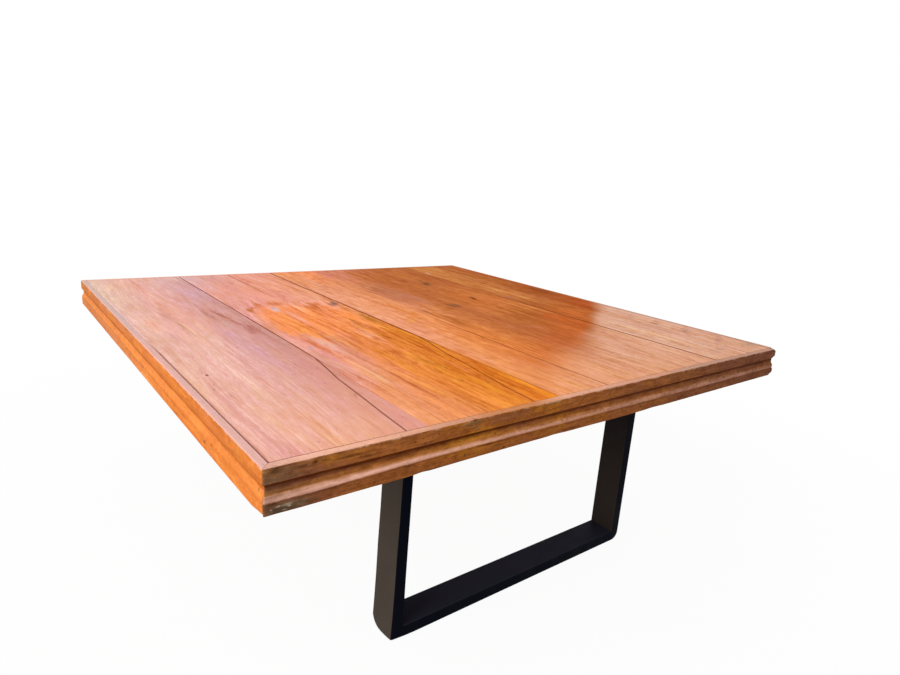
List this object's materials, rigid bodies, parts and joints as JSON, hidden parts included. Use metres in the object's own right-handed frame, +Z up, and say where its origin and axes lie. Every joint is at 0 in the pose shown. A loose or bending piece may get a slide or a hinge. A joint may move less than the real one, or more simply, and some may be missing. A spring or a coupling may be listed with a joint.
{
  "type": "dining table",
  "caption": "Large square dining table: plank top inside a mitred moulded edge, carried by two U-shaped black steel leg frames.",
  "frame": {"origin": "on the floor, under the middle of the top", "axes": "+X to the right along the front edge, +Y from the front to the back along the planks, +Z up"},
  "size_m": [1.96, 1.96, 0.76],
  "materials": {
    "top_wood": "worn clear varnish over reddish hardwood",
    "edge_wood": "worn clear varnish, darker along the edges",
    "bearer_wood": "sawn and unvarnished",
    "black_steel": "satin black powder coat",
    "plated_steel": "zinc plated"
  },
  "bodies": {
    "root": {"top_board_01": "top_wood", "top_board_02": "top_wood", "top_board_03": "top_wood", "top_board_04": "top_wood", "top_board_05": "top_wood", "top_board_06": "top_wood", "top_board_07": "top_wood", "top_board_08": "top_wood", "top_board_09": "top_wood", "top_board_10": "top_wood", "board_tongues": "bearer_wood", "edge_moulding_front": "edge_wood", "edge_moulding_right": "edge_wood", "edge_moulding_back": "edge_wood", "edge_moulding_left": "edge_wood", "edge_bearer_front": "bearer_wood", "edge_bearer_right": "bearer_wood", "edge_bearer_back": "bearer_wood", "edge_bearer_left": "bearer_wood", "centre_bearer": "bearer_wood", "front_leg_bearer": "bearer_wood", "rear_leg_bearer": "bearer_wood", "front_leg_left_post": "black_steel", "front_leg_right_post": "black_steel", "front_leg_bottom_bar": "black_steel", "front_leg_top_plate": "black_steel", "front_leg_washers": "plated_steel", "front_leg_screws": "plated_steel", "rear_leg_left_post": "black_steel", "rear_leg_right_post": "black_steel", "rear_leg_bottom_bar": "black_steel", "rear_leg_top_plate": "black_steel", "rear_leg_washers": "plated_steel", "rear_leg_screws": "plated_steel", "board_screws": "plated_steel", "moulding_screws": "plated_steel"}
  },
  "joints": []
}
